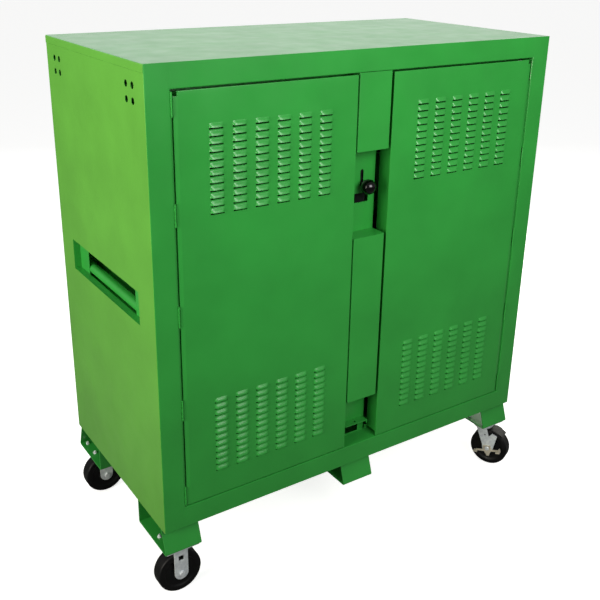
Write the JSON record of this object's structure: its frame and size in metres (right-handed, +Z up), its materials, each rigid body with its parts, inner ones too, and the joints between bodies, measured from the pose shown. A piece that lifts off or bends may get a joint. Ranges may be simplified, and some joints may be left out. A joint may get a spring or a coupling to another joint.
{
  "type": "rolling storage cabinet",
  "caption": "Two-door sheet-steel storage safe with louvred doors, recessed ball-knob latch, handle pockets, shelves and skids, on rigid and braked swivel casters.",
  "frame": {"origin": "on the floor, under the middle of the cabinet body", "axes": "+X to the right of someone facing the doors, -Y towards that person, +Z up"},
  "size_m": [1.5393, 0.8135, 1.722],
  "materials": {
    "green_powder_coat": "gloss powder coat",
    "zinc_plate": "bright zinc plate",
    "black_oxide_steel": "satin black",
    "black_phenolic": "gloss moulded",
    "black_hard_rubber": "matt moulded"
  },
  "bodies": {
    "cabinet": {"left_side_panel": "green_powder_coat", "right_side_panel": "green_powder_coat", "top_panel": "green_powder_coat", "back_panel": "green_powder_coat", "floor_panel": "green_powder_coat", "front_header": "green_powder_coat", "front_sill": "green_powder_coat", "centre_post": "green_powder_coat", "upper_post_cover": "green_powder_coat", "lock_cover": "green_powder_coat", "padlock_bracket": "green_powder_coat", "left_handle_pocket": "green_powder_coat", "left_handle_bar": "green_powder_coat", "right_handle_pocket": "green_powder_coat", "right_handle_bar": "green_powder_coat", "left_shelf_frame": "green_powder_coat", "right_shelf_frame": "green_powder_coat", "lower_shelf": "green_powder_coat", "middle_shelf": "green_powder_coat", "upper_shelf": "green_powder_coat", "front_left_skid": "green_powder_coat", "front_middle_skid": "green_powder_coat", "front_right_skid": "green_powder_coat", "rear_left_skid": "green_powder_coat", "rear_middle_skid": "green_powder_coat", "rear_right_skid": "green_powder_coat", "left_hinge_frame_leaf": "green_powder_coat", "right_hinge_frame_leaf": "green_powder_coat", "front_left_caster_fork": "zinc_plate", "front_left_axle": "zinc_plate", "rear_left_caster_fork": "zinc_plate", "rear_left_axle": "zinc_plate", "front_right_caster_plate": "zinc_plate", "rear_right_caster_plate": "zinc_plate"},
    "left_door": {"left_door": "green_powder_coat", "left_hinge_door_leaf": "green_powder_coat", "left_lower_keeper": "green_powder_coat", "left_upper_keeper": "green_powder_coat"},
    "right_door": {"right_door": "green_powder_coat", "right_hinge_door_leaf": "green_powder_coat", "right_lower_keeper": "green_powder_coat", "right_upper_keeper": "green_powder_coat"},
    "lock": {"lock_bar": "black_oxide_steel", "lower_cross_arm": "black_oxide_steel", "upper_cross_arm": "black_oxide_steel", "knob_stem": "black_oxide_steel", "knob_ball": "black_phenolic"},
    "front_left_wheel": {"front_left_wheel": "black_hard_rubber"},
    "rear_left_wheel": {"rear_left_wheel": "black_hard_rubber"},
    "front_right_swivel": {"front_right_caster_fork": "zinc_plate", "front_right_axle": "zinc_plate"},
    "front_right_wheel": {"front_right_wheel": "black_hard_rubber"},
    "front_right_shoe": {"front_right_brake_shoe": "black_oxide_steel"},
    "front_right_pedal": {"front_right_brake_pedal": "zinc_plate"},
    "rear_right_swivel": {"rear_right_caster_fork": "zinc_plate", "rear_right_axle": "zinc_plate"},
    "rear_right_wheel": {"rear_right_wheel": "black_hard_rubber"},
    "rear_right_shoe": {"rear_right_brake_shoe": "black_oxide_steel"},
    "rear_right_pedal": {"rear_right_brake_pedal": "zinc_plate"}
  },
  "joints": [
    {"name": "left_door_hinge", "type": "hinge", "parent": "cabinet", "child": "left_door", "pos_m": [-0.686, -0.381, 1], "axis": [0, 0, -1], "range_deg": [0, 165]},
    {"name": "right_door_hinge", "type": "hinge", "parent": "cabinet", "child": "right_door", "pos_m": [0.686, -0.381, 1], "axis": [0, 0, 1], "range_deg": [0, 165]},
    {"name": "lock_bar_lift", "type": "slide", "parent": "cabinet", "child": "lock", "axis": [0, 0, 1], "range_m": [0, 0.04]},
    {"name": "front_left_wheel_spin", "type": "hinge", "parent": "cabinet", "child": "front_left_wheel", "pos_m": [-0.698, -0.323, 0.0762], "axis": [0, 1, 0], "continuous": true},
    {"name": "rear_left_wheel_spin", "type": "hinge", "parent": "cabinet", "child": "rear_left_wheel", "pos_m": [-0.698, 0.323, 0.0762], "axis": [0, 1, 0], "continuous": true},
    {"name": "front_right_swivel", "type": "hinge", "parent": "cabinet", "child": "front_right_swivel", "pos_m": [0.698, -0.323, 0.164], "axis": [0, 0, 1], "continuous": true},
    {"name": "front_right_wheel_spin", "type": "hinge", "parent": "front_right_swivel", "child": "front_right_wheel", "pos_m": [0.71321, -0.35563, 0.0762], "axis": [0.9063, 0.4226, 0], "continuous": true},
    {"name": "front_right_pedal_rock", "type": "hinge", "parent": "front_right_swivel", "child": "front_right_pedal", "pos_m": [0.71321, -0.35563, 0.0762], "axis": [0.9063, 0.4226, 0], "range_deg": [0, 20]},
    {"name": "front_right_shoe_press", "type": "hinge", "parent": "front_right_swivel", "child": "front_right_shoe", "pos_m": [0.72251, -0.37557, 0.1382], "axis": [0.9063, 0.4226, 0], "range_deg": [0, 2]},
    {"name": "rear_right_swivel", "type": "hinge", "parent": "cabinet", "child": "rear_right_swivel", "pos_m": [0.698, 0.323, 0.164], "axis": [0, 0, 1], "continuous": true},
    {"name": "rear_right_wheel_spin", "type": "hinge", "parent": "rear_right_swivel", "child": "rear_right_wheel", "pos_m": [0.71321, 0.29037, 0.0762], "axis": [0.9063, 0.4226, 0], "continuous": true},
    {"name": "rear_right_pedal_rock", "type": "hinge", "parent": "rear_right_swivel", "child": "rear_right_pedal", "pos_m": [0.71321, 0.29037, 0.0762], "axis": [0.9063, 0.4226, 0], "range_deg": [0, 20]},
    {"name": "rear_right_shoe_press", "type": "hinge", "parent": "rear_right_swivel", "child": "rear_right_shoe", "pos_m": [0.72251, 0.27043, 0.1382], "axis": [0.9063, 0.4226, 0], "range_deg": [0, 2]}
  ],
  "couplings": [
    {"joint": "front_right_shoe_press", "follows": "front_right_pedal_rock", "ratio": 0.1},
    {"joint": "rear_right_shoe_press", "follows": "rear_right_pedal_rock", "ratio": 0.1}
  ]
}
